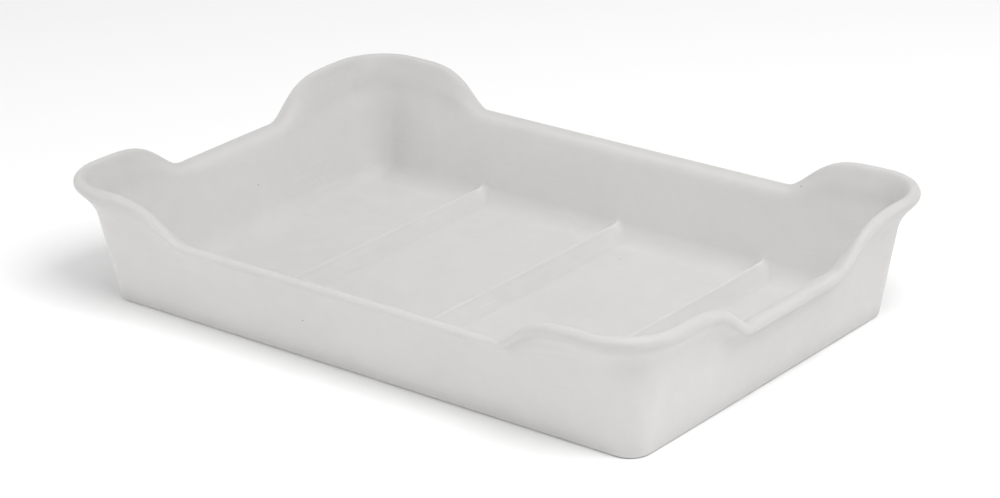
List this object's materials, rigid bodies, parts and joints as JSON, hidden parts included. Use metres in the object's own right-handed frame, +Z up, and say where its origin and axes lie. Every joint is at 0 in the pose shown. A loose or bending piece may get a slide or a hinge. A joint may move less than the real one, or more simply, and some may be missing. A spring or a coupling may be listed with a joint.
{
  "type": "developing tray",
  "caption": "Rectangular open developing tray with leaning walls, an out-turned lip, raised pouring lobes at the corners and low cross ribs on the floor.",
  "frame": {"origin": "middle of the flat underside, on the surface the tray stands on", "axes": "+X along the length, +Y across the width, +Z up out of the basin"},
  "size_m": [0.6258, 0.4158, 0.1134],
  "materials": {
    "natural_plastic": "satin, milky, slightly translucent natural polyethylene"
  },
  "bodies": {
    "root": {"tray_shell": "natural_plastic", "cross_rib_left": "natural_plastic", "cross_rib_middle": "natural_plastic", "cross_rib_right": "natural_plastic"}
  },
  "joints": []
}
